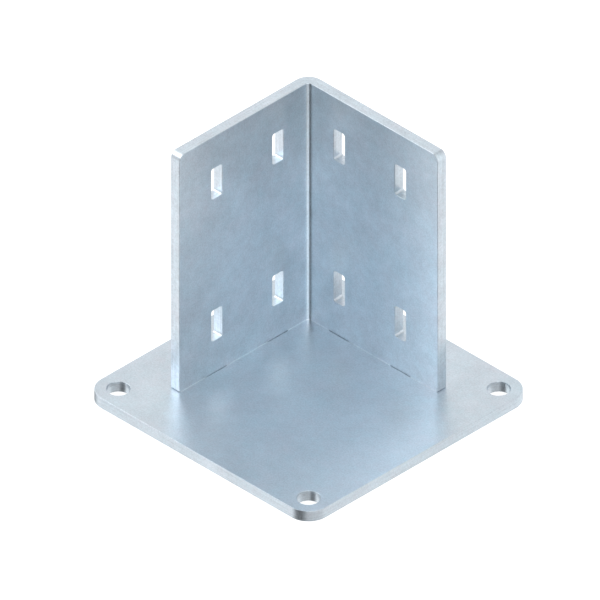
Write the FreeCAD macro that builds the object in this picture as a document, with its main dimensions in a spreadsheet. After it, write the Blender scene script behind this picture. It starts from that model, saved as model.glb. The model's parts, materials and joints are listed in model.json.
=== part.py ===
import FreeCAD, Part
import math
import os

import Sketcher

from FreeCAD import Placement, Rotation, Vector

# Driving sizes in millimetres. The post's axis stands at the plate's centre.
SIZES = {
    # Square base plate.
    "plate_side": 165,
    "plate_thickness": 6.35,
    "plate_corner_radius": 12.5,
    "anchor_hole_diameter": 12.5,
    "anchor_hole_inset": 12.5,
    # Post that stands in the inside corner of the angle.
    "post_side": 90,
    # Upright angle, folded once from flat sheet.
    "sheet_thickness": 6.35,
    "flange_inside_width": 95,
    "flange_height": 150,
    "bend_inside_radius": 2.5,
    "flange_corner_radius": 4,
    # Screw windows in both flanges: two columns about the post's axis, in two rows.
    "window_width": 8.2,
    "window_height": 19.5,
    "window_corner_radius": 1.5,
    "window_column_pitch": 45,
    "window_row_pitch": 90,
    "lower_window_height": 30,
    # Tabs under the window columns, their slots in the plate, and the welds under the tabs.
    "tab_length": 14.4,
    "slot_clearance": 0.3,
    "weld_depth": 2.4,
    "weld_recess": 0.3,
    # Rounding of the cut edges, and the chamfer that deburrs both rims of an anchor hole.
    "edge_round": 0.4,
    "hole_chamfer": 0.3,
}

# Inside faces of the flanges, and their free ends, measured from the post's axis.
INSIDE_FACE = "Sizes.post_side / 2"
FREE_END = "(Sizes.flange_inside_width - Sizes.post_side / 2)"
SHEET_MIDDLE = "(Sizes.post_side / 2 + Sizes.sheet_thickness / 2)"
COLUMN_OFFSET = "Sizes.window_column_pitch / 2"
UPPER_WINDOW_HEIGHT = "(Sizes.lower_window_height + Sizes.window_row_pitch)"
SLOT_LENGTH = "(Sizes.tab_length + 2 * Sizes.slot_clearance)"
SLOT_WIDTH = "(Sizes.sheet_thickness + 2 * Sizes.slot_clearance)"
# A square-cornered tab clears a slot whose corners are rounded by no more than the clearance.
SLOT_CORNER_RADIUS = "Sizes.slot_clearance"

LEFT = "left"
RIGHT = "right"
# Each tab's flange, its place on that flange, and the sign of its offset along the flange.
# The left flange runs along Y, the right flange along X, and the fold is at -X, +Y.
TABS = (
    (LEFT, "corner", "+"),
    (LEFT, "end", "-"),
    (RIGHT, "corner", "-"),
    (RIGHT, "end", "+"),
)

# The property that holds the size of each way to break an edge.
EDGE_SIZE = {"Fillet": "Radius", "Chamfer": "Size"}

QUARTER_TURN = math.pi / 2
SAME_LENGTH = 1e-6

doc = FreeCAD.newDocument("steel_base_plate")
sheet = doc.addObject("Spreadsheet::Sheet", "Sizes")
for row, (alias, size) in enumerate(SIZES.items(), start=1):
    sheet.set(f"A{row}", alias)
    sheet.set(f"B{row}", str(size))
    sheet.setAlias(f"B{row}", alias)
doc.recompute()


def number(expression):
    """The value of an expression in the sheet's aliases."""
    return float(sheet.evalExpression(expression))


def same(first, second):
    """True where two lengths are equal."""
    return abs(first - second) < SAME_LENGTH


def new_body(label):
    """An empty body whose label names its file."""
    body = doc.addObject("PartDesign::Body", label)
    body.Label = label
    return body


def new_sketch(body, name, role):
    """A sketch on the body's own origin plane with this role."""
    sketch = body.newObject("Sketcher::SketchObject", name)
    planes = [feature for feature in body.Origin.OriginFeatures if feature.Role == role]
    sketch.AttachmentSupport = [(planes[0], "")]
    sketch.MapMode = "FlatFace"
    return sketch


def drive(sketch, name, expression, kind, *points):
    """A named dimension of the sketch, driven by an expression."""
    index = sketch.addConstraint(Sketcher.Constraint(kind, *points, number(expression)))
    sketch.renameConstraint(index, name)
    sketch.setExpression("Constraints." + name, expression)


def add_line(sketch, start, end):
    """A straight line between two points given as x, y pairs."""
    return sketch.addGeometry(Part.LineSegment(Vector(*start), Vector(*end)), False)


def add_quarter_arc(sketch, centre, radius, quarter):
    """A quarter circle that runs anticlockwise from this quarter turn."""
    circle = Part.Circle(Vector(*centre), Vector(0, 0, 1), radius)
    start = quarter * QUARTER_TURN
    return sketch.addGeometry(Part.ArcOfCircle(circle, start, start + QUARTER_TURN), False)


def join(sketch, kind, first, first_end, second, second_end):
    """Joins an end of one line or arc to an end of another."""
    sketch.addConstraint(Sketcher.Constraint(kind, first, first_end, second, second_end))


def join_loop(sketch, kind, loop):
    """Joins each line or arc of a closed loop, end to start, with the next one."""
    for first, second in zip(loop, loop[1:] + loop[:1]):
        join(sketch, kind, first, 2, second, 1)


def straighten(sketch, level, upright):
    """Holds some lines level and others upright."""
    for line in level:
        sketch.addConstraint(Sketcher.Constraint("Horizontal", line))
    for line in upright:
        sketch.addConstraint(Sketcher.Constraint("Vertical", line))


def add_rectangle(sketch, name, centre, size, radius=None):
    """A rectangle about a centre, with rounded corners where a radius is given.

    The centre, the size and the radius are expressions in the sheet's aliases.
    """
    low = [f"{middle} - {length} / 2" for middle, length in zip(centre, size)]
    x0, y0 = (number(edge) for edge in low)
    x1, y1 = (number(f"{edge} + {length}") for edge, length in zip(low, size))
    r = number(radius) if radius else 0
    bottom = add_line(sketch, (x0 + r, y0), (x1 - r, y0))
    right = add_line(sketch, (x1, y0 + r), (x1, y1 - r))
    top = add_line(sketch, (x1 - r, y1), (x0 + r, y1))
    left = add_line(sketch, (x0, y1 - r), (x0, y0 + r))
    sides = [bottom, right, top, left]
    if radius:
        corners = [
            add_quarter_arc(sketch, (x1 - r, y0 + r), r, 3),
            add_quarter_arc(sketch, (x1 - r, y1 - r), r, 0),
            add_quarter_arc(sketch, (x0 + r, y1 - r), r, 1),
            add_quarter_arc(sketch, (x0 + r, y0 + r), r, 2),
        ]
        join_loop(sketch, "Tangent", [piece for pair in zip(sides, corners) for piece in pair])
        for corner in corners[1:]:
            sketch.addConstraint(Sketcher.Constraint("Equal", corners[0], corner))
        drive(sketch, name + "_radius", radius, "Radius", corners[0])
    else:
        join_loop(sketch, "Coincident", sides)
    straighten(sketch, (bottom, top), (right, left))
    drive(sketch, name + "_left", low[0], "DistanceX", -1, 1, left, 1)
    drive(sketch, name + "_low", low[1], "DistanceY", -1, 1, bottom, 1)
    drive(sketch, name + "_wide", size[0], "DistanceX", left, 1, right, 1)
    drive(sketch, name + "_high", size[1], "DistanceY", bottom, 1, top, 1)


def tab_centre(flange, sign):
    """Centre of a tab in plan, under a column of windows, as two expressions."""
    along = sign + COLUMN_OFFSET
    if flange == LEFT:
        return "-" + SHEET_MIDDLE, along
    return along, SHEET_MIDDLE


def add_tab_rectangles(sketch, length, width, radius=None):
    """A rectangle at each tab, with its length along the flange."""
    for flange, place, sign in TABS:
        size = (width, length) if flange == LEFT else (length, width)
        add_rectangle(sketch, f"{flange}_{place}", tab_centre(flange, sign), size, radius)


def add_feature(body, kind, name, profile):
    """A feature of the body made from a sketch."""
    feature = body.newObject("PartDesign::" + kind, name)
    feature.Profile = profile
    return feature


def check_volume(feature, grows):
    """Stops where a feature left its base as it was, or changed it the wrong way."""
    doc.recompute()
    change = feature.Shape.Volume - feature.BaseFeature.Shape.Volume
    if (change > 0) != grows or same(change, 0):
        raise RuntimeError(f"{feature.Label} changed the volume by {change:.3f} mm3")


def break_edges(body, kind, name, wanted, size):
    """A fillet or chamfer over each edge of the body's last feature that passes a test."""
    base = body.Tip
    edges = [f"Edge{index}" for index, edge in enumerate(base.Shape.Edges, 1) if wanted(edge)]
    feature = body.newObject("PartDesign::" + kind, name)
    feature.Base = (base, edges)
    feature.setExpression(EDGE_SIZE[kind], size)
    check_volume(feature, grows=False)


def lies_at(edge, height):
    """True where the whole edge lies at one height."""
    box = edge.BoundBox
    return same(box.ZMin, height) and same(box.ZMax, height)


def build_base_plate():
    """Square plate with rounded corners, a hole in each corner and a slot for each tab."""
    body = new_body("base_plate")
    side = "Sizes.plate_side"
    outline = new_sketch(body, "plate_outline", "XY_Plane")
    add_rectangle(outline, "plate", ("0", "0"), (side, side), "Sizes.plate_corner_radius")
    plate = add_feature(body, "Pad", "plate", outline)
    plate.setExpression("Length", "Sizes.plate_thickness")
    doc.recompute()

    hole_places = new_sketch(body, "anchor_hole_places", "XY_Plane")
    hole_places.setExpression("AttachmentOffset.Base.z", "Sizes.plate_thickness")
    reach = "(Sizes.plate_side / 2 - Sizes.anchor_hole_inset)"
    radius = number("Sizes.anchor_hole_diameter / 2")
    for column, x_sign in (("left", "-"), ("right", "+")):
        for row, y_sign in (("front", "-"), ("back", "+")):
            x_place = x_sign + reach
            y_place = y_sign + reach
            centre = Vector(number(x_place), number(y_place))
            circle = hole_places.addGeometry(Part.Circle(centre, Vector(0, 0, 1), radius), False)
            name = f"{column}_{row}"
            drive(hole_places, name + "_x", x_place, "DistanceX", -1, 1, circle, 3)
            drive(hole_places, name + "_y", y_place, "DistanceY", -1, 1, circle, 3)
            drive(hole_places, name + "_size", "Sizes.anchor_hole_diameter", "Diameter", circle)
    doc.recompute()
    holes = add_feature(body, "Hole", "anchor_holes", hole_places)
    holes.DepthType = "ThroughAll"
    holes.setExpression("Diameter", "Sizes.anchor_hole_diameter")
    check_volume(holes, grows=False)

    thickness = number("Sizes.plate_thickness")

    def on_hole_rim(edge):
        """True on the rims of the holes, above and below: each is one closed circle."""
        return edge.isClosed() and (lies_at(edge, 0) or lies_at(edge, thickness))

    def on_plate_rim(edge):
        """True on the plate's own rim, above and below."""
        return not edge.isClosed() and (lies_at(edge, 0) or lies_at(edge, thickness))

    break_edges(body, "Chamfer", "hole_deburring", on_hole_rim, "Sizes.hole_chamfer")
    break_edges(body, "Fillet", "plate_edge_round", on_plate_rim, "Sizes.edge_round")

    slot_outlines = new_sketch(body, "slot_outlines", "XY_Plane")
    slot_outlines.setExpression("AttachmentOffset.Base.z", "Sizes.plate_thickness")
    add_tab_rectangles(slot_outlines, SLOT_LENGTH, SLOT_WIDTH, SLOT_CORNER_RADIUS)
    slots = add_feature(body, "Pocket", "tab_slots", slot_outlines)
    slots.Type = "ThroughAll"
    check_volume(slots, grows=False)
    return body


def draw_fold_profile(sketch):
    """The folded sheet seen from above: two flanges joined by concentric bend arcs."""
    inside = number(INSIDE_FACE)
    outside = inside + number("Sizes.sheet_thickness")
    end = number(FREE_END)
    inner_radius = number("Sizes.bend_inside_radius")
    outer_radius = inner_radius + number("Sizes.sheet_thickness")
    bend = inside - inner_radius
    left_end = add_line(sketch, (-outside, -end), (-inside, -end))
    left_inside = add_line(sketch, (-inside, -end), (-inside, bend))
    inner_bend = add_quarter_arc(sketch, (-bend, bend), inner_radius, 1)
    right_inside = add_line(sketch, (-bend, inside), (end, inside))
    right_end = add_line(sketch, (end, inside), (end, outside))
    right_outside = add_line(sketch, (end, outside), (-bend, outside))
    outer_bend = add_quarter_arc(sketch, (-bend, bend), outer_radius, 1)
    left_outside = add_line(sketch, (-outside, bend), (-outside, -end))
    join(sketch, "Coincident", left_end, 2, left_inside, 1)
    join(sketch, "Tangent", left_inside, 2, inner_bend, 2)
    join(sketch, "Tangent", inner_bend, 1, right_inside, 1)
    join(sketch, "Coincident", right_inside, 2, right_end, 1)
    join(sketch, "Coincident", right_end, 2, right_outside, 1)
    join(sketch, "Tangent", right_outside, 2, outer_bend, 1)
    join(sketch, "Tangent", outer_bend, 2, left_outside, 1)
    join(sketch, "Coincident", left_outside, 2, left_end, 1)
    join(sketch, "Coincident", inner_bend, 3, outer_bend, 3)
    level = (left_end, right_inside, right_outside)
    upright = (left_inside, right_end, left_outside)
    straighten(sketch, level, upright)
    drive(sketch, "bend_radius", "Sizes.bend_inside_radius", "Radius", inner_bend)
    drive(sketch, "sheet_thickness", "Sizes.sheet_thickness", "DistanceX", left_end, 1, left_end, 2)
    drive(sketch, "left_inside_face", "-" + INSIDE_FACE, "DistanceX", -1, 1, left_inside, 1)
    drive(sketch, "right_inside_face", INSIDE_FACE, "DistanceY", -1, 1, right_inside, 2)
    drive(sketch, "left_free_end", "-" + FREE_END, "DistanceY", -1, 1, left_end, 1)
    drive(sketch, "right_free_end", FREE_END, "DistanceX", -1, 1, right_end, 1)


def build_corner_angle():
    """Sheet folded into an upright L, with windows in its flanges and tabs under its foot."""
    body = new_body("corner_angle")
    body.setExpression("Placement.Base.z", "Sizes.plate_thickness")
    profile = new_sketch(body, "fold_profile", "XY_Plane")
    draw_fold_profile(profile)
    fold = add_feature(body, "Pad", "folded_sheet", profile)
    fold.setExpression("Length", "Sizes.flange_height")
    doc.recompute()

    top = number("Sizes.flange_height")
    end = number(FREE_END)
    thickness = number("Sizes.sheet_thickness")

    def at_free_end(edge):
        """True on the two top edges that run through the sheet at the free ends."""
        box = edge.BoundBox
        return lies_at(edge, top) and (same(box.YMax, -end) or same(box.XMin, end))

    def on_cut_edge(edge):
        """True round the foot, and on the top's skin edges, which run on down both free ends."""
        on_top_skin = lies_at(edge, top) and not same(edge.Length, thickness)
        return on_top_skin or lies_at(edge, 0)

    break_edges(body, "Fillet", "free_corners", at_free_end, "Sizes.flange_corner_radius")
    break_edges(body, "Fillet", "sheet_edge_round", on_cut_edge, "Sizes.edge_round")

    size = ("Sizes.window_width", "Sizes.window_height")
    rows = (("lower", "Sizes.lower_window_height"), ("upper", UPPER_WINDOW_HEIGHT))
    columns = (("first", "-" + COLUMN_OFFSET), ("second", COLUMN_OFFSET))
    for flange, role in ((LEFT, "YZ_Plane"), (RIGHT, "XZ_Plane")):
        outlines = new_sketch(body, flange + "_window_outlines", role)
        for row, height in rows:
            for column, along in columns:
                add_rectangle(
                    outlines, f"{row}_{column}", (along, height), size, "Sizes.window_corner_radius"
                )
        windows = add_feature(body, "Pocket", flange + "_windows", outlines)
        windows.Type = "ThroughAll"
        check_volume(windows, grows=False)

    # The tabs start above the rounding of the foot, which stops at their sides.
    tab_outlines = new_sketch(body, "tab_outlines", "XY_Plane")
    tab_outlines.setExpression("AttachmentOffset.Base.z", "Sizes.edge_round")
    add_tab_rectangles(tab_outlines, "Sizes.tab_length", "Sizes.sheet_thickness")
    tabs = add_feature(body, "Pad", "tabs", tab_outlines)
    tabs.Reversed = True
    tabs.setExpression("Length", "Sizes.edge_round + Sizes.plate_thickness - Sizes.weld_depth")
    check_volume(tabs, grows=True)
    return body


def build_plug_weld(flange, place, sign):
    """Weld metal that fills one slot under its tab, a little short of the underside."""
    body = new_body(f"plug_weld_{flange}_{place}")
    turn = QUARTER_TURN if flange == LEFT else 0
    body.Placement = Placement(Vector(), Rotation(Vector(0, 0, 1), math.degrees(turn)))
    for axis, centre in zip("xy", tab_centre(flange, sign)):
        body.setExpression("Placement.Base." + axis, centre)
    body.setExpression("Placement.Base.z", "Sizes.weld_recess")
    outline = new_sketch(body, body.Label + "_outline", "XY_Plane")
    add_rectangle(outline, "weld", ("0", "0"), (SLOT_LENGTH, SLOT_WIDTH), SLOT_CORNER_RADIUS)
    weld = add_feature(body, "Pad", body.Label + "_fill", outline)
    weld.setExpression("Length", "Sizes.weld_depth - Sizes.weld_recess")
    return body


bodies = [build_base_plate(), build_corner_angle()]
bodies += [build_plug_weld(*tab) for tab in TABS]
doc.recompute()

for item in doc.Objects:
    if {"Invalid", "Error"} & set(item.State):
        raise RuntimeError(f"{item.Label} did not build: {item.State}")
for body in bodies:
    if body.Shape.isNull() or not body.Shape.isValid() or len(body.Shape.Solids) != 1:
        raise RuntimeError(f"{body.Label} is not one valid solid")

os.makedirs("parts", exist_ok=True)
for body in bodies:
    body.Shape.exportStep(f"parts/{body.Label}.step")
    box = body.Shape.BoundBox
    print(f"{body.Label}: {body.Shape.Volume:.1f} mm3, z {box.ZMin:.2f} to {box.ZMax:.2f}")
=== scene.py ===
"""Zinc-plated steel base plate with a folded corner angle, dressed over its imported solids."""

import json
import logging
import math
from collections.abc import Iterable
from dataclasses import dataclass
from enum import Enum
from typing import Any, ClassVar

import bpy
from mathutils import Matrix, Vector


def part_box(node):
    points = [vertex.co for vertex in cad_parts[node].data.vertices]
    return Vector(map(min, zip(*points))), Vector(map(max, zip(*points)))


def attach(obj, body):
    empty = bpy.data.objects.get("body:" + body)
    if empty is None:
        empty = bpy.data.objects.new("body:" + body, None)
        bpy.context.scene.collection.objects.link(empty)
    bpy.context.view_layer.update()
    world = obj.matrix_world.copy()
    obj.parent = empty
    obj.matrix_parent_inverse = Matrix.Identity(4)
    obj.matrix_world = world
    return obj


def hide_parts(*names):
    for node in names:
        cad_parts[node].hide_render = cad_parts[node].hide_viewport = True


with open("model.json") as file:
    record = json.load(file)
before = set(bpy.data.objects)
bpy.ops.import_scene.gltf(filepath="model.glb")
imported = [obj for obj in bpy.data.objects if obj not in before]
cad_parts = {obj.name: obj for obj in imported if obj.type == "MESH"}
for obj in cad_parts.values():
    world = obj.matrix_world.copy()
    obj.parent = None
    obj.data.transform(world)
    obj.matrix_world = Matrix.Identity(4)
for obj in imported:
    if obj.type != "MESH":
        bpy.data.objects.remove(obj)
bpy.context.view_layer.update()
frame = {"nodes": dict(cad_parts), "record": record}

MM = 0.001
QUARTER_TURN = math.pi / 2
# Every piece is fixed to the one body of a part with no joints.
BODY = "root"
# The values that a piece of sheet keeps: which faces are cut edges, and how deep each point lies.
CUT_EDGE = "cut_edge"
SHEET_DEPTH = "sheet_depth"

Socket = bpy.types.NodeSocket
Term = Socket | float
Point = tuple[float, float]
Feeds = dict[str | int, Any]

log = logging.getLogger("base_plate_scene")


class Slot(Enum):
    """The record's material slots."""

    PLATE = "zinc_plate"
    SHEET = "zinc_sheet"
    WELD = "zinc_weld"


class Domain(Enum):
    """What part of a mesh a named value belongs to."""

    FACE = "FACE"
    POINT = "POINT"


class Graph:
    """Adds nodes to a tree, each with its settings, values and links in one call."""

    def __init__(self, tree: bpy.types.NodeTree) -> None:
        """Takes over a tree and empties it."""
        self.tree = tree
        tree.nodes.clear()

    def feed(self, socket: Socket, value: Any) -> None:
        """Links an input to a source, or sets it to a plain value.

        Args:
            socket: The input.
            value: The source or the value.
        """
        if isinstance(value, Socket):
            self.tree.links.new(value, socket)
        else:
            socket.default_value = value

    def add(self, kind: str, feeds: Feeds | None = None, **settings: Any) -> bpy.types.Node:
        """Adds one node.

        Args:
            kind: Blender's name for the type of node.
            feeds: A source to link or a plain value for each input, by its name or place.
            settings: The node's own properties.

        Returns:
            The new node.
        """
        node = self.tree.nodes.new(kind)
        for name, value in settings.items():
            setattr(node, name, value)
        for key, value in (feeds or {}).items():
            self.feed(node.inputs[key], value)
        return node

    def out(self, kind: str, feeds: Feeds | None = None, **settings: Any) -> Socket:
        """Adds one node and returns its first output. The arguments are those of add."""
        return self.add(kind, feeds, **settings).outputs[0]

    def math(self, operation: str, *terms: Term) -> Socket:
        """A Math node's result on one to three terms."""
        return self.out("ShaderNodeMath", dict(enumerate(terms)), operation=operation)

    def half(self, term: Term) -> Socket:
        """Half of a term."""
        return self.math("MULTIPLY", term, 0.5)

    def minus(self, term: Term) -> Socket:
        """A term with its sign turned."""
        return self.math("MULTIPLY", term, -1.0)

    def mixed(self, kind: str, factor: Socket, first: Any, second: Any) -> Socket:
        """A Mix node's result between two ends.

        Args:
            kind: Blender's name for the type of the ends.
            factor: How far the result lies from the first end towards the second, from 0 to 1.
            first: The source or the plain value of the first end.
            second: The source or the plain value of the second end.

        Returns:
            The mixed value.
        """
        node = self.add("ShaderNodeMix", {"Factor": factor}, data_type=kind)
        ends = [socket for socket in node.inputs if socket.enabled and socket.name in ("A", "B")]
        for socket, value in zip(ends, (first, second)):
            self.feed(socket, value)
        return next(socket for socket in node.outputs if socket.enabled)

    def swing(self, noise: Socket, depth: float, middle: float) -> Socket:
        """A noise from 0 to 1 turned into a value that swings by a depth about a middle."""
        return self.math("MULTIPLY_ADD", noise, 2 * depth, middle - depth)

    def seen(self) -> Socket:
        """One for rays that the camera sends, straight or through glass, and nothing for others."""
        path = self.add("ShaderNodeLightPath").outputs
        return self.math("MAXIMUM", path["Is Camera Ray"], path["Is Transmission Ray"])

    def along(self, way: Socket, axis: Vector) -> Socket:
        """The part of a direction that lies along an axis."""
        feeds = {0: way, 1: axis}
        return self.add("ShaderNodeVectorMath", feeds, operation="DOT_PRODUCT").outputs["Value"]

    def vector(self, *parts: Term) -> Socket:
        """Three terms combined into a vector."""
        return self.out("ShaderNodeCombineXYZ", dict(enumerate(parts)))

    def place(self) -> bpy.types.NodeOutputs:
        """The coordinates of a geometry's points, by their names X, Y and Z."""
        position = self.out("GeometryNodeInputPosition")
        return self.add("ShaderNodeSeparateXYZ", {0: position}).outputs

    def join(self, *parts: Socket) -> Socket:
        """Several geometries joined into one.

        Args:
            parts: The geometries.

        Returns:
            All of them as one geometry.
        """
        node = self.add("GeometryNodeJoinGeometry")
        for part in parts:
            self.feed(node.inputs[0], part)
        return node.outputs[0]

    def real(self, instances: Socket) -> Socket:
        """Instances turned into geometry of their own."""
        return self.out("GeometryNodeRealizeInstances", {"Geometry": instances})

    def shifted(self, geometry: Socket, *parts: Term) -> Socket:
        """A geometry moved by three terms."""
        feeds = {"Geometry": geometry, "Translation": self.vector(*parts)}
        return self.out("GeometryNodeTransform", feeds)

    def repeated(self, points: Socket, shape: Socket) -> Socket:
        """A shape set on each of some points."""
        return self.out("GeometryNodeInstanceOnPoints", {"Points": points, "Instance": shape})

    def grid(self, width: Term, height: Term, across: int = 2, up: int = 2) -> Socket:
        """A flat grid about the origin, of a size and a count of points along x and y."""
        feeds = {"Size X": width, "Size Y": height, "Vertices X": across, "Vertices Y": up}
        return self.out("GeometryNodeMeshGrid", feeds)

    def pair(self, start: Socket, step: Socket) -> Socket:
        """Two points: one at a start, and one a step further on."""
        feeds = {"Count": 2, "Start Location": start, "Offset": step}
        return self.out("GeometryNodeMeshLine", feeds)


class ShapeRule:
    """A Geometry Nodes tree with named sizes, which makes one plain mesh."""

    # The largest weight there is, so that large faces alone decide the normals at their corners.
    FLAT_WEIGHT: ClassVar[int] = 100

    def __init__(self, name: str, finish: bpy.types.Material, sizes: dict[str, float]) -> None:
        """Makes a tree with one input for each size.

        Args:
            name: The tree's name.
            finish: The material of the whole piece.
            sizes: The value of each named size, in metres, or per metre for a bow.
        """
        self.tree = bpy.data.node_groups.new(name, "GeometryNodeTree")
        self.graph = Graph(self.tree)
        self.values: dict[str, Any] = {}
        interface = self.tree.interface
        interface.new_socket("Shape", in_out="OUTPUT", socket_type="NodeSocketGeometry")
        interface.new_socket("Start", in_out="INPUT", socket_type="NodeSocketGeometry")
        for size_name, size in sizes.items():
            socket = interface.new_socket(size_name, in_out="INPUT", socket_type="NodeSocketFloat")
            self.values[socket.identifier] = size
        socket = interface.new_socket("Finish", in_out="INPUT", socket_type="NodeSocketMaterial")
        self.values[socket.identifier] = finish
        self.inputs = self.graph.add("NodeGroupInput").outputs

    def end(self, shape: Socket) -> None:
        """Ends the tree: instances made real, smooth shading and the finish.

        Args:
            shape: The geometry that the tree has made.
        """
        smooth = self.graph.out("GeometryNodeSetShadeSmooth", {0: self.graph.real(shape)})
        feeds = {"Geometry": smooth, "Material": self.inputs["Finish"]}
        dressed = self.graph.out("GeometryNodeSetMaterial", feeds)
        self.graph.add("NodeGroupOutput", {"Shape": dressed})

    def make(self, name: str, start: bpy.types.Mesh) -> bpy.types.Object:
        """Runs the rule and keeps its result as a plain mesh.

        Args:
            name: The name of the piece.
            start: The mesh that the tree begins with.

        Returns:
            A new object at the origin, with no modifier.
        """
        piece = bpy.data.objects.new(name, start)
        bpy.context.scene.collection.objects.link(piece)
        modifier = piece.modifiers.new("shape_rule", "NODES")
        modifier.node_group = self.tree
        for identifier, value in self.values.items():
            modifier[identifier] = value
        weighted = piece.modifiers.new("flat_faces_stay_flat", "WEIGHTED_NORMAL")
        weighted.mode = "FACE_AREA"
        weighted.weight = self.FLAT_WEIGHT
        state = bpy.context.evaluated_depsgraph_get()
        mesh = bpy.data.meshes.new_from_object(piece.evaluated_get(state), depsgraph=state)
        piece.modifiers.clear()
        piece.data = mesh
        mesh.name = name
        return piece


class SheetRule(ShapeRule):
    """Makes a piece of sheet from flat contours, centred on the sheet's middle plane.

    Each contour gets a wall with a rounded rim on both sides, and the two skins are filled
    between those rims. The material lies to the left of a contour's direction.
    """

    RIM_STEPS: ClassVar[int] = 5
    MERGE: ClassVar[float] = 0.002 * MM

    def edge_section(self, thickness: Term, rounding: Term) -> Socket:
        """The section of a cut edge: a straight wall with a quarter round at each end.

        Args:
            thickness: The sheet's thickness.
            rounding: The radius of the rims.

        Returns:
            An open curve with x pointing out of the material and y through the sheet.
        """
        graph = self.graph
        last = 2 * self.RIM_STEPS + 1
        line = graph.out("GeometryNodeCurvePrimitiveLine")
        points = graph.out("GeometryNodeResampleCurve", {"Curve": line, "Count": last + 1}, mode="COUNT")
        index = graph.out("GeometryNodeInputIndex")
        from_end = graph.math("SUBTRACT", last, index)
        step = graph.math("MINIMUM", index, from_end)
        side = graph.math("SIGN", graph.math("SUBTRACT", index, from_end))
        angle = graph.math("MULTIPLY", step, QUARTER_TURN / self.RIM_STEPS)
        out = graph.math("SUBTRACT", graph.math("SINE", angle), 1.0)
        half_wall = graph.math("SUBTRACT", graph.half(thickness), rounding)
        up = graph.math("MULTIPLY_ADD", graph.math("COSINE", angle), rounding, half_wall)
        across = graph.math("MULTIPLY", out, rounding)
        place = graph.vector(across, graph.math("MULTIPLY", side, up), 0.0)
        return graph.out("GeometryNodeSetPosition", {"Geometry": points, "Position": place})

    def walls(self, contours: Socket, thickness: Term, rounding: Term) -> Socket:
        """The edge walls along some contours.

        Args:
            contours: Closed curves in the plane z = 0.
            thickness: The sheet's thickness.
            rounding: The radius of the rims.

        Returns:
            A mesh that is open along both skins.
        """
        section = self.edge_section(thickness, rounding)
        feeds = {"Curve": contours, "Profile Curve": section}
        walls = self.graph.out("GeometryNodeCurveToMesh", feeds)
        return self.noted(walls, CUT_EDGE, 1.0, Domain.FACE)

    def noted(self, geometry: Socket, name: str, value: Term, domain: Domain) -> Socket:
        """A geometry whose faces or points keep a value under a name."""
        feeds = {"Geometry": geometry, "Name": name, "Value": value}
        return self.graph.out("GeometryNodeStoreNamedAttribute", feeds, domain=domain.value)

    def skins(self, walls: Socket, thickness: Term, kept: Term = 1.0) -> Socket:
        """Both skins, filled between the open edges of the walls.

        Args:
            walls: The edge walls of every contour.
            thickness: The sheet's thickness.
            kept: True on the open edges that bound a filled area.

        Returns:
            A mesh whose rims lie on those of the walls.
        """
        graph = self.graph
        # An open edge has one face beside it.
        faces = graph.out("GeometryNodeInputMeshEdgeNeighbors")
        is_open = graph.math("COMPARE", faces, 1.0, 0.5)
        above = graph.math("GREATER_THAN", graph.place()["Z"], 0.0)
        rim = graph.math("MULTIPLY", graph.math("MULTIPLY", is_open, above), kept)
        curves = graph.out("GeometryNodeMeshToCurve", {"Mesh": walls, "Selection": rim})
        fill = graph.out("GeometryNodeFillCurve", {"Curve": curves}, mode="TRIANGLES")
        return self.both_skins(fill, thickness)

    def both_skins(self, skin: Socket, thickness: Term) -> Socket:
        """A flat mesh set on both faces of the sheet, turned outwards on each.

        Args:
            skin: The mesh in the plane z = 0.
            thickness: The sheet's thickness.

        Returns:
            The upper and the lower skin.
        """
        graph = self.graph
        half = graph.half(thickness)
        under = graph.out("GeometryNodeFlipFaces", {"Mesh": skin})
        lower = graph.shifted(under, 0.0, 0.0, graph.minus(half))
        return graph.join(graph.shifted(skin, 0.0, 0.0, half), lower)

    def merged(self, *parts: Socket) -> Socket:
        """Walls and skins joined along their shared rims.

        Args:
            parts: The walls and the skins.

        Returns:
            One closed mesh that keeps each point's depth in the sheet.
        """
        feeds = {"Geometry": self.graph.join(*parts), "Distance": self.MERGE}
        sheet = self.graph.out("GeometryNodeMergeByDistance", feeds)
        return self.noted(sheet, SHEET_DEPTH, self.graph.place()["Z"], Domain.POINT)

    def hollow(self, contours: Socket) -> Socket:
        """Contours turned round, so that the material lies outside them."""
        return self.graph.out("GeometryNodeReverseCurve", {"Curve": self.graph.real(contours)})

    def rounded_rectangle(self, width: Term, height: Term, radius: Term, steps: int) -> Socket:
        """A rectangle about the origin with rounded corners.

        Args:
            width: Its size along x.
            height: Its size along y.
            radius: The radius of its corners.
            steps: How many edges make each corner.

        Returns:
            A closed curve.
        """
        sides = {"Width": width, "Height": height}
        plain = self.graph.out("GeometryNodeCurvePrimitiveQuadrilateral", sides)
        feeds = {"Curve": plain, "Radius": radius, "Count": steps}
        return self.graph.out("GeometryNodeFilletCurve", feeds, mode="POLY")


def mount(name: str) -> dict[str, Any]:
    """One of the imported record's mounts, by its name."""
    return next(entry for entry in frame["record"]["mounts"] if entry["name"] == name)


@dataclass(frozen=True)
class TabLayout:
    """Where the angle's tabs stand in the plate's slots, in metres.

    The left flange's slots lie at x = -across, and the right flange's at y = +across. A coat of
    zinc on the slots' walls takes up a part of the tabs' clearance.
    """

    ZINC_COAT: ClassVar[float] = 0.1 * MM

    across: float
    along: float
    length: float
    width: float
    weld_low: float
    weld_high: float

    @classmethod
    def from_frame(cls) -> "TabLayout":
        """The layout read from the solid that fills one of the left flange's slots.

        Returns:
            The places and sizes of the coated slots.
        """
        low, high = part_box("plug_weld_left_corner")
        middle = (low + high) / 2
        width = high.x - low.x - 2 * cls.ZINC_COAT
        length = high.y - low.y - 2 * cls.ZINC_COAT
        return cls(-middle.x, middle.y, length, width, low.z, high.z)


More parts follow.
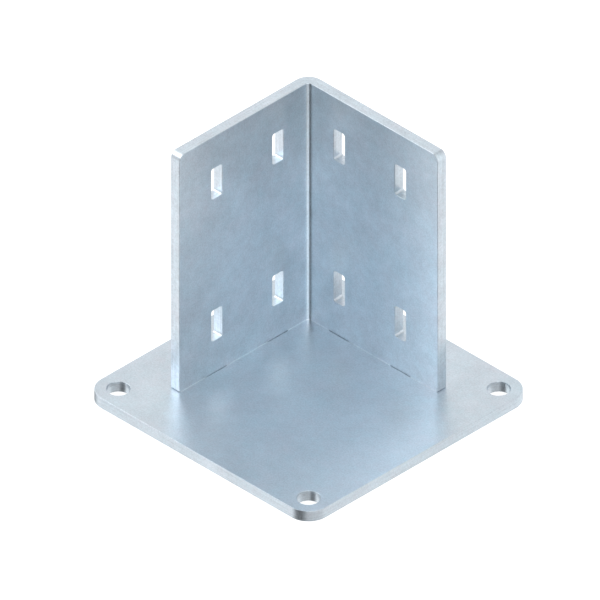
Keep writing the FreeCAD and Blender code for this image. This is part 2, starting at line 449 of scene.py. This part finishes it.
def four_tabs(graph: Graph, across: Socket, along: Socket, shape: Socket) -> Socket:
    """A shape at each tab: two along the left flange, and the same turned to the right flange.

    Args:
        graph: The nodes that it is added to.
        across: The tabs' distance from the post's axis, across the flange.
        along: Their distance from it along the flange, both ways.
        shape: What stands at each tab, with its length along y.

    Returns:
        The four shapes as real geometry.
    """
    start = graph.vector(graph.minus(across), graph.minus(along), 0.0)
    step = graph.vector(0.0, graph.math("MULTIPLY", along, 2.0), 0.0)
    left = graph.real(graph.repeated(graph.pair(start, step), shape))
    right = graph.out("GeometryNodeTransform", {"Geometry": left, "Rotation": (0.0, 0.0, -QUARTER_TURN)})
    return graph.join(left, right)


@dataclass(frozen=True)
class ZincFinish:
    """Bright zinc plating: a bluish satin metal with clouds, a shifting hue and lines along cut edges.

    A depth is how far a value swings to each side of its middle. Clouds, speckle and lines swing
    the brightness. Edges above the height soft_above catch the light as if soft_edge rounded them.
    """

    # Green and blue shift against red, each by a third of red's shift.
    COUNTER_SHIFT: ClassVar[float] = 1 / 3

    name: str
    tint: tuple[float, float, float]
    roughness: float
    cloud_depth: float
    cloud_size: float = 22 * MM
    cloud_detail: float = 6.0
    cloud_crispness: float = 0.9
    hue_depth: float = 0.1
    roughness_depth: float = 0.05
    grain_size: float = 0.9 * MM
    grain_detail: float = 1.0
    grain_height: float = 0.004 * MM
    grain_depth: float = 0.16
    line_pitch: float = 0.8 * MM
    line_run: float = 40 * MM
    line_detail: float = 2.0
    line_depth: float = 0.2
    line_height: float = 0.03 * MM
    soft_edge: float = 0.4 * MM
    soft_above: float = 0.0

    def hue(self, graph: Graph, noise: Socket) -> Socket:
        """The tint, which shifts between a cool and a warm cast.

        Args:
            graph: The material's nodes.
            noise: A noise from 0, cool, to 1, warm.

        Returns:
            The colour.
        """
        red, green, blue = self.tint
        casts = []
        for shift in (-self.hue_depth, self.hue_depth):
            counter = 1 - shift * self.COUNTER_SHIFT
            casts.append((red * (1 + shift), green * counter, blue * counter, 1.0))
        return graph.mixed("RGBA", noise, *casts)

    def soft_normal(self, graph: Graph, place: Socket) -> Socket:
        """The surface's way, turned softly round the edges that lie above a height.

        Args:
            graph: The material's nodes.
            place: The piece's own coordinates.

        Returns:
            The normal.
        """
        soft = graph.out("ShaderNodeBevel", {"Radius": self.soft_edge})
        plain = graph.add("ShaderNodeNewGeometry").outputs["Normal"]
        height = graph.add("ShaderNodeSeparateXYZ", {0: place}).outputs["Z"]
        return graph.mixed("VECTOR", graph.math("GREATER_THAN", height, self.soft_above), plain, soft)

    def edge_lines(self, graph: Graph, place: Socket) -> Socket:
        """Fine lines that run along a cut edge and change slowly on their way.

        Args:
            graph: The material's nodes.
            place: The piece's own coordinates.

        Returns:
            A noise from 0 to 1.
        """
        depth = graph.add("ShaderNodeAttribute", attribute_name=SHEET_DEPTH).outputs["Fac"]
        feeds = {
            "Vector": place,
            "W": graph.math("MULTIPLY", depth, self.line_run / self.line_pitch),
            "Scale": 1 / self.line_run,
            "Detail": self.line_detail,
        }
        return graph.out("ShaderNodeTexNoise", feeds, noise_dimensions="4D")

    def material(self) -> bpy.types.Material:
        """Makes the finish as a material on the piece's own coordinates.

        Returns:
            The new material.
        """
        material = bpy.data.materials.new(self.name)
        material.use_nodes = True
        graph = Graph(material.node_tree)
        place = graph.add("ShaderNodeTexCoord").outputs["Object"]
        cloud_feeds = {
            "Vector": place,
            "Scale": 1 / self.cloud_size,
            "Detail": self.cloud_detail,
            "Roughness": self.cloud_crispness,
        }
        clouds = graph.add("ShaderNodeTexNoise", cloud_feeds).outputs["Color"]
        cloud = graph.add("ShaderNodeSeparateColor", {"Color": clouds}).outputs
        edge = graph.add("ShaderNodeAttribute", attribute_name=CUT_EDGE).outputs["Fac"]
        lines = graph.math("MULTIPLY", graph.swing(self.edge_lines(graph, place), 1.0, 0.0), edge)
        grain_feeds = {"Vector": place, "Scale": 1 / self.grain_size, "Detail": self.grain_detail}
        grain = graph.out("ShaderNodeTexNoise", grain_feeds)
        speckle = graph.swing(grain, self.grain_depth, 0.0)
        clouded = graph.math("ADD", speckle, graph.swing(cloud["Red"], self.cloud_depth, 1.0))
        shade = graph.math("MULTIPLY_ADD", lines, self.line_depth, clouded)
        hue = self.hue(graph, cloud["Green"])
        colour = graph.out("ShaderNodeVectorMath", {0: hue, "Scale": shade}, operation="SCALE")
        rough = graph.swing(cloud["Blue"], self.roughness_depth, self.roughness)
        grain_relief = graph.math("MULTIPLY", grain, self.grain_height)
        relief = graph.math("MULTIPLY_ADD", lines, self.line_height, grain_relief)
        normal = self.soft_normal(graph, place)
        bump_feeds = {"Strength": 1.0, "Distance": 1.0, "Height": relief, "Normal": normal}
        bump = graph.out("ShaderNodeBump", bump_feeds)
        metal = {"Base Color": colour, "Metallic": 1.0, "Roughness": rough, "Normal": bump}
        shader = graph.out("ShaderNodeBsdfPrincipled", metal)
        graph.add("ShaderNodeOutputMaterial", {"Surface": shader})
        return material


@dataclass
class BasePlate:
    """Square plate with rounded corners, an anchor hole in each and four slots for the tabs."""

    side: float
    thickness: float
    hole_spacing: float
    hole_radius: float
    tabs: TabLayout
    corner_radius: float = 12.5 * MM
    corner_steps: int = 24
    edge_round: float = 0.15 * MM
    hole_steps: int = 72
    hole_rim: float = 0.3 * MM
    slot_corner: float = 0.3 * MM
    slot_corner_steps: int = 4
    slot_rim: float = 0.06 * MM

    @classmethod
    def from_frame(cls, tabs: TabLayout) -> "BasePlate":
        """The plate with its main sizes read from its solid and its bolt pattern.

        Args:
            tabs: Where the slots are.

        Returns:
            The plate's sizes.
        """
        low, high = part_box("base_plate")
        pattern = mount("anchor_holes")["dims"]
        spacing = pattern["spacing_x_mm"] * MM
        return cls(high.x - low.x, high.z - low.z, spacing, pattern["hole_r_mm"] * MM, tabs)

    def sizes(self) -> dict[str, float]:
        """The sizes that the plate's rule takes, by their names in it.

        Returns:
            The sizes in metres.
        """
        return {
            "Side": self.side,
            "Thickness": self.thickness,
            "Corner Radius": self.corner_radius,
            "Hole Spacing": self.hole_spacing,
            "Hole Radius": self.hole_radius,
            "Slot Length": self.tabs.length,
            "Slot Width": self.tabs.width,
            "Slot Across": self.tabs.across,
            "Slot Along": self.tabs.along,
            "Edge Round": self.edge_round,
            "Hole Rim": self.hole_rim,
            "Slot Corner": self.slot_corner,
            "Slot Rim": self.slot_rim,
        }

    def build(self, finish: bpy.types.Material) -> bpy.types.Object:
        """Makes the plate from its contours.

        Args:
            finish: The plate's material.

        Returns:
            The finished piece.
        """
        rule = SheetRule("anchor_plate_rule", finish, self.sizes())
        graph, size = rule.graph, rule.inputs
        thickness, side = size["Thickness"], size["Side"]
        outline = rule.rounded_rectangle(side, side, size["Corner Radius"], self.corner_steps)
        corners = graph.grid(size["Hole Spacing"], size["Hole Spacing"])
        ring = {"Resolution": self.hole_steps, "Radius": size["Hole Radius"]}
        circle = graph.out("GeometryNodeCurvePrimitiveCircle", ring)
        holes = rule.hollow(graph.repeated(corners, circle))
        slot = rule.rounded_rectangle(
            size["Slot Width"], size["Slot Length"], size["Slot Corner"], self.slot_corner_steps
        )
        slots = rule.hollow(four_tabs(graph, size["Slot Across"], size["Slot Along"], slot))
        walls = graph.join(
            rule.walls(outline, thickness, size["Edge Round"]),
            rule.walls(holes, thickness, size["Hole Rim"]),
            rule.walls(slots, thickness, size["Slot Rim"]),
        )
        sheet = rule.merged(walls, rule.skins(walls, thickness))
        rule.end(graph.shifted(sheet, 0.0, 0.0, graph.half(thickness)))
        return rule.make("anchor_plate", bpy.data.meshes.new("anchor_plate_start"))


class BlankOutline:
    """Collects the corners of a sheet's outline, anticlockwise, and rounds them."""

    ARC_STEPS: ClassVar[int] = 10

    def __init__(self, small_radius: float) -> None:
        """Starts an outline whose corners have a small radius unless they say another."""
        self.small_radius = small_radius
        self.corners: list[tuple[Vector, float]] = []

    def corner(self, along: float, up: float, radius: float | None = None) -> None:
        """Adds one corner, rounded by the small radius or by its own."""
        self.corners.append((Vector((along, up)), self.small_radius if radius is None else radius))

    def straight(self, points: Iterable[Point]) -> None:
        """Adds points that lie on a straight stretch."""
        for along, up in points:
            self.corner(along, up, 0.0)

    def tab(self, place: float, half: float, depth: float) -> None:
        """Adds the four corners of a tab below the foot.

        Args:
            place: The tab's middle along the foot.
            half: Half of its length.
            depth: How far it reaches below the foot.
        """
        self.corner(place - half, 0.0)
        self.corner(place - half, -depth)
        self.corner(place + half, -depth)
        self.corner(place + half, 0.0)

    def points(self) -> list[Vector]:
        """The outline's points, with an arc at each rounded corner.

        Returns:
            The points in order.
        """
        found: list[Vector] = []
        for index, (corner, radius) in enumerate(self.corners):
            before = self.corners[index - 1][0]
            after = self.corners[(index + 1) % len(self.corners)][0]
            found += [corner] if radius == 0 else self.arc(before, corner, after, radius)
        return found

    def arc(self, before: Vector, corner: Vector, after: Vector, radius: float) -> list[Vector]:
        """The points of a quarter round at a square corner.

        Args:
            before: The corner before it.
            corner: The corner itself.
            after: The corner after it.
            radius: The radius of the round.

        Returns:
            Points from the incoming side to the outgoing one.
        """
        into = (before - corner).normalized() * radius
        out = (after - corner).normalized() * radius
        centre = corner + into + out
        turns = [QUARTER_TURN * step / self.ARC_STEPS for step in range(self.ARC_STEPS + 1)]
        return [centre - out * math.cos(turn) - into * math.sin(turn) for turn in turns]

    def mesh(self, name: str) -> bpy.types.Mesh:
        """The outline as a closed run of edges.

        Args:
            name: The mesh's name.

        Returns:
            The new mesh, in the plane z = 0.
        """
        points = self.points()
        count = len(points)
        mesh = bpy.data.meshes.new(name)
        edges = [(index, (index + 1) % count) for index in range(count)]
        mesh.from_pydata([(point.x, point.y, 0.0) for point in points], edges, [])
        return mesh


@dataclass
class CornerAngle:
    """One sheet folded into an upright L, with windows in both flanges and tabs under its foot."""

    # Half of a rim's height with a little to spare, as a share of that height.
    RIM_REACH: ClassVar[float] = 0.51

    foot: float
    height: float
    thickness: float
    inside_face: float
    free_end: float
    tab_depth: float
    tabs: TabLayout
    bend_radius: float = 2.5 * MM
    corner_radius: float = 4 * MM
    foot_corner: float = 0.7 * MM
    tab_corner: float = 0.3 * MM
    window_width: float = 8.2 * MM
    window_height: float = 19.5 * MM
    window_corner: float = 1.5 * MM
    window_corner_steps: int = 7
    row_pitch: float = 90 * MM
    lower_row: float = 30 * MM
    slot_clearance: float = 0.2 * MM
    edge_round: float = 0.25 * MM
    window_rim: float = 0.2 * MM
    foot_bead: float = 0.19 * MM
    bead_height: float = 0.19 * MM
    neutral_depth: float = 0.44
    bend_steps: int = 14

    @classmethod
    def from_frame(cls, tabs: TabLayout, foot: float) -> "CornerAngle":
        """The angle with its main sizes read from its solid and its window mounts.

        Args:
            tabs: Where the tabs are.
            foot: The height of the plate's top.

        Returns:
            The angle's sizes.
        """
        low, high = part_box("corner_angle")
        inside = -mount("left_flange_windows")["pos_m"][0]
        return cls(foot, high.z - foot, -low.x - inside, inside, high.x, foot - low.z, tabs)

    @property
    def bend_length(self) -> float:
        """The sheet's length round the bend, along its neutral layer."""
        return QUARTER_TURN * (self.bend_radius + self.neutral_depth * self.thickness)

    @property
    def bend_centre(self) -> float:
        """The distance of the bend's axis from the post's axis, along x and y."""
        return self.inside_face - self.bend_radius

    @property
    def bead_end(self) -> float:
        """Where the foot's bead ends on the blank, short of the rounded free corner."""
        return self.on_blank(self.free_end) - 2 * self.foot_corner

    def on_blank(self, along: float) -> float:
        """A place along the right flange, measured on the flat blank from the bend's middle."""
        return along + self.bend_centre + self.bend_length / 2

    def outline(self) -> bpy.types.Mesh:
        """The flat blank's outline, anticlockwise.

        Returns:
            A closed run of edges.
        """
        end = self.on_blank(self.free_end)
        half_tab = self.tabs.length / 2 - self.slot_clearance
        places = (self.on_blank(-self.tabs.along), self.on_blank(self.tabs.along))
        shares = [step / self.bend_steps - 0.5 for step in range(self.bend_steps + 1)]
        bend = [self.bend_length * share for share in shares]
        run = BlankOutline(self.tab_corner)
        run.corner(-end, 0.0, self.foot_corner)
        run.straight([(-self.bead_end, 0.0)])
        for place in sorted(places, reverse=True):
            run.tab(-place, half_tab, self.tab_depth)
        run.straight((along, 0.0) for along in bend)
        for place in sorted(places):
            run.tab(place, half_tab, self.tab_depth)
        run.straight([(self.bead_end, 0.0)])
        run.corner(end, 0.0, self.foot_corner)
        run.corner(end, self.height, self.corner_radius)
        run.straight((along, self.height) for along in reversed(bend))
        run.corner(-end, self.height, self.corner_radius)
        return run.mesh("corner_angle_blank")

    def sizes(self) -> dict[str, float]:
        """The sizes that the angle's rule takes, by their names in it.

        Returns:
            The sizes in metres.
        """
        return {
            "Thickness": self.thickness,
            "Height": self.height,
            "Foot": self.foot,
            "Bend Length": self.bend_length,
            "Bend Radius": self.bend_radius,
            "Bend Centre": self.bend_centre,
            "Window Width": self.window_width,
            "Window Height": self.window_height,
            "Window Corner": self.window_corner,
            "Column Pitch": 2 * self.tabs.along,
            "Column Middle": self.on_blank(0.0),
            "Row Pitch": self.row_pitch,
            "Row Middle": self.lower_row + self.row_pitch / 2,
            "Edge Round": self.edge_round,
            "Window Rim": self.window_rim,
            "Foot Bead": self.foot_bead,
            "Bead Height": self.bead_height,
            "Bead Reach": self.bead_end + self.foot_corner / 2,
        }

    def build(self, finish: bpy.types.Material) -> bpy.types.Object:
        """Cuts the flat blank with its windows, then folds it.

        Args:
            finish: The angle's material.

        Returns:
            The finished piece.
        """
        rule = SheetRule("folded_angle_rule", finish, self.sizes())
        graph, size = rule.graph, rule.inputs
        thickness = size["Thickness"]
        outline = graph.out("GeometryNodeMeshToCurve", {"Mesh": size["Start"]})
        walls = graph.join(
            rule.walls(outline, thickness, size["Edge Round"]),
            rule.walls(self.windows(rule), thickness, size["Window Rim"]),
        )
        half_bend = graph.half(size["Bend Length"])
        from_bend = graph.math("ABSOLUTE", graph.place()["X"])
        on_flange = graph.math("GREATER_THAN", from_bend, half_bend)
        flanges = rule.skins(walls, thickness, on_flange)
        open_height = graph.math("MULTIPLY_ADD", size["Edge Round"], -2.0, size["Height"])
        strip = graph.grid(size["Bend Length"], open_height, across=self.bend_steps + 1)
        middle = graph.half(size["Height"])
        bend = rule.both_skins(graph.shifted(strip, 0.0, middle, 0.0), thickness)
        blank = self.seated(rule, rule.merged(walls, flanges, bend))
        rule.end(self.folded(rule, blank, half_bend))
        return rule.make("folded_angle", self.outline())

    def windows(self, rule: SheetRule) -> Socket:
        """The contours of two columns and two rows of windows in each flange of the blank.

        Args:
            rule: The rule that the nodes are added to.

        Returns:
            Closed curves with the material outside them.
        """
        graph, size = rule.graph, rule.inputs
        window = rule.rounded_rectangle(
            size["Window Width"], size["Window Height"], size["Window Corner"], self.window_corner_steps
        )
        group = graph.repeated(graph.grid(size["Column Pitch"], size["Row Pitch"]), window)
        middle = size["Column Middle"]
        start = graph.vector(graph.minus(middle), size["Row Middle"], 0.0)
        step = graph.vector(graph.math("MULTIPLY", middle, 2.0), 0.0, 0.0)
        return rule.hollow(graph.repeated(graph.pair(start, step), group))

    def seated(self, rule: SheetRule, blank: Socket) -> Socket:
        """The blank with a fine bead of zinc along its foot in place of the rims.

        Args:
            rule: The rule that the nodes are added to.
            blank: The flat sheet, with its foot at y = 0.

        Returns:
            The sheet with its beads, which stop short of the free ends.
        """
        graph, size = rule.graph, rule.inputs
        rounding = size["Edge Round"]
        place = graph.place()
        in_rim = graph.math("DIVIDE", place["Y"], rounding)
        low = graph.math("COMPARE", in_rim, 0.5, self.RIM_REACH)
        inside = graph.math("LESS_THAN", graph.math("ABSOLUTE", place["X"]), size["Bead Reach"])
        half = graph.half(size["Thickness"])
        wall = graph.math("SUBTRACT", half, rounding)
        from_wall = graph.math("SUBTRACT", graph.math("ABSOLUTE", place["Z"]), wall)
        cosine = graph.math("DIVIDE", from_wall, rounding)
        sine = graph.math("SQRT", graph.math("MULTIPLY_ADD", cosine, graph.minus(cosine), 1.0))
        out = graph.math("MULTIPLY_ADD", sine, size["Foot Bead"], half)
        across = graph.math("MULTIPLY", out, graph.math("SIGN", place["Z"]))
        squeeze = graph.math("DIVIDE", size["Bead Height"], rounding)
        up = graph.math("MULTIPLY", place["Y"], squeeze)
        bead = {
            "Geometry": blank,
            "Selection": graph.math("MULTIPLY", low, inside),
            "Position": graph.vector(place["X"], up, across),
        }
        return graph.out("GeometryNodeSetPosition", bead)

    def folded(self, rule: SheetRule, blank: Socket, half_bend: Socket) -> Socket:
        """The blank wrapped round the bend's axis by a quarter turn.

        On the blank, x runs along the sheet from the bend's middle, y up from the foot, and z
        from the middle plane towards the inside of the fold.

        Args:
            rule: The rule that the nodes are added to.
            blank: The flat sheet.
            half_bend: Half of the bend's length on the blank.

        Returns:
            The folded sheet in its place.
        """
        graph, size = rule.graph, rule.inputs
        place = graph.place()
        low = graph.minus(half_bend)
        in_bend = graph.math("MAXIMUM", low, graph.math("MINIMUM", half_bend, place["X"]))
        past_bend = graph.math("SUBTRACT", place["X"], in_bend)
        share = graph.math("DIVIDE", graph.math("ADD", in_bend, half_bend), size["Bend Length"])
        turn = graph.math("MULTIPLY", share, QUARTER_TURN)
        depth = graph.math("MULTIPLY_ADD", size["Thickness"], 0.5, size["Bend Radius"])
        reach = graph.math("SUBTRACT", depth, place["Z"])
        sine, cosine = graph.math("SINE", turn), graph.math("COSINE", turn)
        centre = size["Bend Centre"]
        back = graph.math("MULTIPLY_ADD", reach, cosine, centre)
        x = graph.math("SUBTRACT", graph.math("MULTIPLY", past_bend, sine), back)
        out = graph.math("MULTIPLY_ADD", reach, sine, centre)
        y = graph.math("MULTIPLY_ADD", past_bend, cosine, out)
        z = graph.math("ADD", place["Y"], size["Foot"])
        folded = {"Geometry": blank, "Position": graph.vector(x, y, z)}
        return graph.out("GeometryNodeSetPosition", folded)


@dataclass
class PlugWelds:
    """Rippled weld metal that fills the four slots under the tabs.

    The toes are where a bead draws back along its sides and ends. The higher a toe's power, the
    closer it keeps to the border.
    """

    tabs: TabLayout
    steps_across: int = 26
    steps_along: int = 90
    ripple_pitch: float = 1.1 * MM
    ripple_depth: float = 0.12 * MM
    ripple_bow: float = 90.0
    toe_depth: float = 0.35 * MM
    side_toe_power: float = 6.0
    end_toe_power: float = 16.0
    fit: float = 0.02 * MM

    def sizes(self) -> dict[str, float]:
        """The sizes that the welds' rule takes, by their names in it.

        Returns:
            The sizes in metres, and the ripples' bow per metre.
        """
        return {
            "Length": self.tabs.length - 2 * self.fit,
            "Width": self.tabs.width - 2 * self.fit,
            "Depth": self.tabs.weld_high - self.tabs.weld_low,
            "Middle": (self.tabs.weld_high + self.tabs.weld_low) / 2,
            "Across": self.tabs.across,
            "Along": self.tabs.along,
            "Ripple Pitch": self.ripple_pitch,
            "Ripple Depth": self.ripple_depth,
            "Ripple Bow": self.ripple_bow,
            "Toe Depth": self.toe_depth,
        }

    def build(self, finish: bpy.types.Material) -> bpy.types.Object:
        """Makes one bead, sets it in the four slots and joins them.

        Args:
            finish: The welds' material.

        Returns:
            The finished piece.
        """
        rule = ShapeRule("plug_weld_rule", finish, self.sizes())
        graph, size = rule.graph, rule.inputs
        block_feeds = {
            "Size": graph.vector(size["Width"], size["Length"], size["Depth"]),
            "Vertices X": self.steps_across + 1,
            "Vertices Y": self.steps_along + 1,
            "Vertices Z": 2,
        }
        place = graph.place()
        bow = graph.math("MULTIPLY", graph.math("MULTIPLY", place["X"], place["X"]), size["Ripple Bow"])
        phase = graph.math("DIVIDE", graph.math("ADD", place["Y"], bow), size["Ripple Pitch"])
        wave = graph.math("ABSOLUTE", graph.math("SINE", graph.math("MULTIPLY", phase, math.pi)))
        ripple = graph.math("MULTIPLY", graph.math("SUBTRACT", 1.0, wave), size["Ripple Depth"])
        half_width = graph.half(size["Width"])
        half_length = graph.half(size["Length"])
        to_side = graph.math("DIVIDE", graph.math("ABSOLUTE", place["X"]), half_width)
        to_end = graph.math("DIVIDE", graph.math("ABSOLUTE", place["Y"]), half_length)
        side_toe = graph.math("POWER", to_side, self.side_toe_power)
        end_toe = graph.math("POWER", to_end, self.end_toe_power)
        toe = graph.math("MULTIPLY", graph.math("MAXIMUM", side_toe, end_toe), size["Toe Depth"])
        bead_feeds = {
            "Geometry": graph.out("GeometryNodeMeshCube", block_feeds),
            "Selection": graph.math("LESS_THAN", place["Z"], 0.0),
            "Offset": graph.vector(0.0, 0.0, graph.math("ADD", ripple, toe)),
        }
        bead = graph.out("GeometryNodeSetPosition", bead_feeds)
        beads = four_tabs(graph, size["Across"], size["Along"], bead)
        rule.end(graph.shifted(beads, 0.0, 0.0, size["Middle"]))
        return rule.make("plug_welds", bpy.data.meshes.new("plug_welds_start"))


@dataclass(frozen=True)
class SoftPanel:
    """A soft light or a dark flag in the studio's surround.

    The bearing is in degrees to the right of the camera, the elevation in degrees above the
    horizon, and the level is what the panel adds to the plain surround. At its half width and
    half height it has lost half of its level, and it fades out over an equal angle on both
    sides of that border.
    """

    name: str
    bearing: float
    elevation: float
    half_width: float
    half_height: float
    fade: float
    level: float

    def glow(self, graph: Graph, bearing: Socket, elevation: Socket) -> Socket:
        """The light that the panel adds, in a node that has the panel's name.

        Args:
            graph: The surround's nodes.
            bearing: The bearing of the ray, in radians.
            elevation: The elevation of the ray, in radians.

        Returns:
            The panel's level where the ray meets it, and nothing beside it.
        """
        beside = graph.math("SUBTRACT", bearing, math.radians(self.bearing))
        turned = graph.math("ABSOLUTE", graph.math("WRAP", beside, math.pi, -math.pi))
        above = graph.math("SUBTRACT", elevation, math.radians(self.elevation))
        across = self.share(graph, turned, self.half_width)
        upright = self.share(graph, graph.math("ABSOLUTE", above), self.half_height)
        feeds = {0: graph.math("MULTIPLY", across, upright), 1: self.level}
        return graph.out("ShaderNodeMath", feeds, operation="MULTIPLY", label=self.name)

    def share(self, graph: Graph, distance: Socket, half: float) -> Socket:
        """How much of the panel is left at a distance from its middle.

        Args:
            graph: The surround's nodes.
            distance: The angle from the panel's middle, in radians.
            half: Half of the panel's size that way, in degrees.

        Returns:
            A share from 1 down to 0.
        """
        fade = {
            "Value": distance,
            "From Min": math.radians(half + self.fade),
            "From Max": math.radians(half - self.fade),
        }
        return graph.out("ShaderNodeMapRange", fade, interpolation_type="SMOOTHSTEP")


@dataclass
class Studio:
    """Camera, pale floor and soft surround of the picture."""

    azimuth: float = 45.0
    elevation: float = 35.0
    image_size: float = 600.0
    pixels_per_metre: float = 1922.0
    origin_pixel: Point = (308.55, 398.6)
    camera_distance: float = 1.0
    floor_size: float = 6.0
    floor_drop: float = 0.02 * MM
    floor_shade: float = 0.5
    floor_glow: float = 0.75
    surround: float = 1.04
    darkest: float = 0.01
    panels: tuple[SoftPanel, ...] = (
        SoftPanel("key box", -87.0, 38.0, 31.0, 17.0, 8.0, 1.5),
        SoftPanel("key box, far side", -114.0, 42.0, 25.0, 19.0, 9.0, 0.7),
        SoftPanel("low fill on the left", -98.0, -30.0, 26.0, 21.0, 16.0, 0.28),
        SoftPanel("dark flag", -40.0, 20.0, 27.0, 62.0, 8.0, -0.86),
        SoftPanel("dark flag, soft border", -47.0, 14.0, 27.0, 61.0, 19.0, -0.57),
        SoftPanel("front box", 13.0, 38.0, 25.0, 37.0, 8.0, 1.04),
        SoftPanel("low dark behind", -164.0, -33.0, 36.0, 20.0, 14.0, -0.7),
        SoftPanel("low fill on the right", 103.0, -12.0, 53.0, 16.0, 19.0, 0.2),
        SoftPanel("high dark on the right", 118.0, 63.0, 60.0, 14.0, 11.0, -0.42),
        SoftPanel("low dark in front", 37.0, -57.0, 46.0, 21.0, 8.0, -0.82),
    )

    @property
    def right(self) -> Vector:
        """The level way to the right of the camera."""
        turn = math.radians(self.azimuth)
        return Vector((math.cos(turn), math.sin(turn), 0.0))

    @property
    def front(self) -> Vector:
        """The level way from the object towards the camera."""
        turn = math.radians(self.azimuth)
        return Vector((math.sin(turn), -math.cos(turn), 0.0))

    def build(self) -> None:
        """Makes the camera, the floor and the surround."""
        self.place_camera()
        self.lay_floor()
        self.light_surround()
        bpy.context.scene.view_settings.view_transform = "Standard"

    def place_camera(self) -> None:
        """Sets a camera without perspective so that the origin falls on its pixel."""
        rise = math.radians(self.elevation)
        back = self.front * math.cos(rise) + Vector((0.0, 0.0, math.sin(rise)))
        up = back.cross(self.right)
        middle = self.image_size / 2
        beside = (middle - self.origin_pixel[0]) / self.pixels_per_metre
        above = (self.origin_pixel[1] - middle) / self.pixels_per_metre
        data = bpy.data.cameras.new("product_camera")
        data.type = "ORTHO"
        data.ortho_scale = self.image_size / self.pixels_per_metre
        camera = bpy.data.objects.new("product_camera", data)
        camera.location = self.right * beside + up * above + back * self.camera_distance
        camera.rotation_euler = (QUARTER_TURN - rise, 0.0, math.radians(self.azimuth))
        bpy.context.scene.collection.objects.link(camera)
        bpy.context.scene.camera = camera

    def lay_floor(self) -> None:
        """Lays a pale floor that is seen from above and open from below."""
        half = self.floor_size / 2
        mesh = bpy.data.meshes.new("studio_floor")
        corners = ((-half, -half), (half, -half), (half, half), (-half, half))
        mesh.from_pydata([(x, y, -self.floor_drop) for x, y in corners], [], [(0, 1, 2, 3)])
        floor = bpy.data.objects.new("studio_floor", mesh)
        bpy.context.scene.collection.objects.link(floor)
        floor.visible_glossy = False
        mesh.materials.append(self.floor_material())

    def floor_material(self) -> bpy.types.Material:
        """A pale matt floor that the camera sees as white, with a faint shadow.

        Returns:
            The new material.
        """
        material = bpy.data.materials.new("pale_floor")
        material.use_nodes = True
        graph = Graph(material.node_tree)
        shade = (self.floor_shade, self.floor_shade, self.floor_shade, 1.0)
        matt = graph.out("ShaderNodeBsdfDiffuse", {"Color": shade})
        glow = graph.math("MULTIPLY", graph.seen(), self.floor_glow)
        light = graph.out("ShaderNodeEmission", {"Strength": glow})
        lit = graph.out("ShaderNodeAddShader", {0: matt, 1: light})
        from_below = graph.add("ShaderNodeNewGeometry").outputs["Backfacing"]
        open_floor = graph.out("ShaderNodeBsdfTransparent")
        shader = graph.out("ShaderNodeMixShader", {0: from_below, 1: lit, 2: open_floor})
        graph.add("ShaderNodeOutputMaterial", {"Surface": shader})
        return material

    def light_surround(self) -> None:
        """Lights the object from a white surround with soft panels, and shows white behind it."""
        world = bpy.data.worlds.new("studio_surround")
        world.use_nodes = True
        bpy.context.scene.world = world
        graph = Graph(world.node_tree)
        way = graph.add("ShaderNodeTexCoord").outputs["Generated"]
        right = graph.along(way, self.right)
        front = graph.along(way, self.front)
        bearing = graph.math("ARCTAN2", right, front)
        elevation = graph.math("ARCSINE", graph.along(way, Vector((0.0, 0.0, 1.0))))
        total: Term = self.surround
        for panel in self.panels:
            total = graph.math("ADD", total, panel.glow(graph, bearing, elevation))
        total = graph.math("MAXIMUM", total, self.darkest)
        # The panels show in what the metal mirrors, and never in the background.
        strength = graph.mixed("FLOAT", graph.seen(), total, 1.0)
        light = graph.out("ShaderNodeBackground", {"Color": (1.0, 1.0, 1.0, 1.0), "Strength": strength})
        graph.add("ShaderNodeOutputWorld", {"Surface": light})


def dress(piece: bpy.types.Object, slot: Slot, *nodes: str) -> None:
    """Fixes a piece to the part in place of its solids, and reports it.

    Args:
        piece: The finished piece.
        slot: The record's material slot that its finish stands for; not used.
        nodes: The solids that it stands for.
    """
    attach(piece, BODY)
    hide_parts(*nodes)
    log.info("%s: %d faces for %s", piece.name, len(piece.data.polygons), ", ".join(nodes))


def main() -> None:
    """Builds and dresses the pieces in order, then the studio."""
    logging.basicConfig(level=logging.INFO, format="%(name)s: %(message)s")
    plate_finish = ZincFinish(
        "zinc_on_plate", tint=(0.602, 0.676, 0.738), roughness=0.36, cloud_depth=0.22
    )
    sheet_finish = ZincFinish(
        "zinc_on_sheet", tint=(0.617, 0.688, 0.75), roughness=0.32, cloud_depth=0.34, soft_above=7.5 * MM
    )
    weld_finish = ZincFinish(
        "zinc_on_weld", tint=(0.55, 0.6, 0.64), roughness=0.42, cloud_depth=0.1
    )
    tabs = TabLayout.from_frame()
    plate = BasePlate.from_frame(tabs)
    angle = CornerAngle.from_frame(tabs, plate.thickness)
    welds = PlugWelds(tabs)
    dress(plate.build(plate_finish.material()), Slot.PLATE, "base_plate")
    dress(angle.build(sheet_finish.material()), Slot.SHEET, "corner_angle")
    weld_nodes = sorted(name for name in frame["nodes"] if name.startswith("plug_weld"))
    dress(welds.build(weld_finish.material()), Slot.WELD, *weld_nodes)
    Studio().build()


if __name__ == "__main__":
    main()
